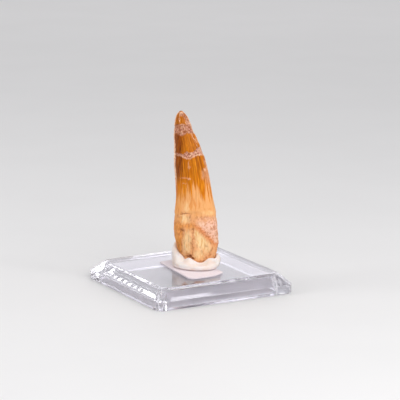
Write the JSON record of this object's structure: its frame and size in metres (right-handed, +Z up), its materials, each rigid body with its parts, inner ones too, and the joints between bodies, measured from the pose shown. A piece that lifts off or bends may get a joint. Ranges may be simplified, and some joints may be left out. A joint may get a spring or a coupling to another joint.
{
  "type": "fossil dinosaur tooth on a display base",
  "caption": "Tall curved fossil tooth with fluted enamel and a broken root, held upright by a seat of white putty on a clear square display base.",
  "frame": {"origin": "centre of the display base's underside, on the surface it stands on", "axes": "+Z up along the tooth, X and Y along the sides of the base; the tooth's broad side faces between -Y and -X"},
  "size_m": [0.06, 0.06, 0.0706],
  "materials": {
    "fossil_enamel": "amber enamel, satin on the crown and rough on the root",
    "white_putty": "matt",
    "white_paper": "matt",
    "clear_plastic": "clear, see-through and polished"
  },
  "bodies": {
    "root": {"tooth": "fossil_enamel", "putty": "white_putty", "pad": "white_paper", "base": "clear_plastic"}
  },
  "joints": []
}
